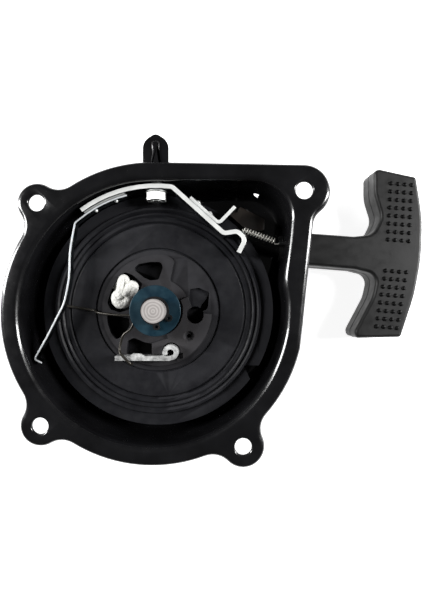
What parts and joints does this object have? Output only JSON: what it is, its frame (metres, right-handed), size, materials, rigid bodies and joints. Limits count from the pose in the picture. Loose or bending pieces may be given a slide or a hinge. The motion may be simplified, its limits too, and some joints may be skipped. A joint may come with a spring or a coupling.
{
  "type": "recoil starter",
  "caption": "Pull-rope recoil starter for a small engine: pressed steel cover, rope reel with a pawl, rocking lock lever and T-handle.",
  "frame": {"origin": "the shaft's axis at the plane of the flange's face, which is the crankshaft's axis on the engine", "axes": "+Z along the shaft out of the open side towards the engine, +X to the side where the rope and handle come out, +Y to the tab at the top"},
  "size_m": [0.184, 0.1407, 0.0336],
  "materials": {
    "black_paint": "gloss black enamel on pressed steel",
    "turned_steel": "turned, fine rings",
    "zinc_plate": "dull zinc plate",
    "bright_zinc": "bright zinc plate",
    "blued_steel": "heat-blued, oily",
    "black_spring_steel": "black oxide",
    "dark_spring_steel": "tempered strip",
    "spring_strip": "bright strip",
    "spring_wire": "drawn wire",
    "sintered_bronze": "oily sintered bronze",
    "reel_plastic": "moulded glass-filled nylon, slightly waxy",
    "grip_plastic": "moulded soft PVC",
    "rope": "braided nylon"
  },
  "bodies": {
    "cover": {"housing": "black_paint", "mounting_lugs": "black_paint", "center_shaft": "turned_steel", "shaft_backing_washer": "zinc_plate", "reel_thrust_washer": "turned_steel", "retaining_washer": "blued_steel", "circlip": "black_spring_steel", "rope_lead": "rope", "rope_guide": "reel_plastic", "lever_pivot_bolt": "zinc_plate", "lever_washer": "zinc_plate", "lever_nut": "bright_zinc", "return_spring": "spring_wire", "spring_anchor_pin": "black_paint"},
    "reel_assembly": {"reel": "reel_plastic", "reel_bush": "sintered_bronze", "recoil_spring": "dark_spring_steel", "spring_cover": "zinc_plate", "spring_cover_rivets": "zinc_plate", "rope_wound": "rope", "rope_knot": "rope"},
    "pawl_body": {"pawl": "bright_zinc"},
    "friction_spring_body": {"friction_spring": "spring_wire"},
    "lever_assembly": {"lock_lever": "bright_zinc", "lever_bracket": "bright_zinc", "lever_bracket_rivets": "bright_zinc", "leaf_spring": "spring_strip", "leaf_clamp_plate": "zinc_plate", "leaf_spring_rivets": "bright_zinc"},
    "handle": {"handle_grip": "grip_plastic", "handle_washer": "zinc_plate", "handle_knot": "rope"}
  },
  "joints": [
    {"name": "reel_spin", "type": "hinge", "parent": "cover", "child": "reel_assembly", "pos_m": [0, 0, 0], "axis": [0, 0, 1], "range_deg": [-1080, 0], "stiffness_Nm_per_rad": 0.012, "springref_deg": 458.37},
    {"name": "handle_pull", "type": "slide", "parent": "cover", "child": "handle", "axis": [0.9969, -0.0785, 0], "range_m": [0, 0.712]},
    {"name": "pawl_swing", "type": "hinge", "parent": "reel_assembly", "child": "pawl_body", "pos_m": [0.0062, -0.0182, -0.0084], "axis": [0, 0, 1], "range_deg": [0, 16]},
    {"name": "friction_spring_drag", "type": "hinge", "parent": "reel_assembly", "child": "friction_spring_body", "pos_m": [0, 0, -0.005], "axis": [0, 0, 1], "range_deg": [0, 22.4]},
    {"name": "lock_lever_lift", "type": "hinge", "parent": "cover", "child": "lever_assembly", "pos_m": [0, 0.0534, -0.008], "axis": [0, -1, 0], "range_deg": [0, 3], "stiffness_Nm_per_rad": 0.1, "springref_deg": -11.46}
  ],
  "couplings": [
    {"joint": "handle_pull", "follows": "reel_spin", "m_per_rad": -0.03775},
    {"joint": "friction_spring_drag", "follows": "pawl_swing", "ratio": 1.4}
  ]
}
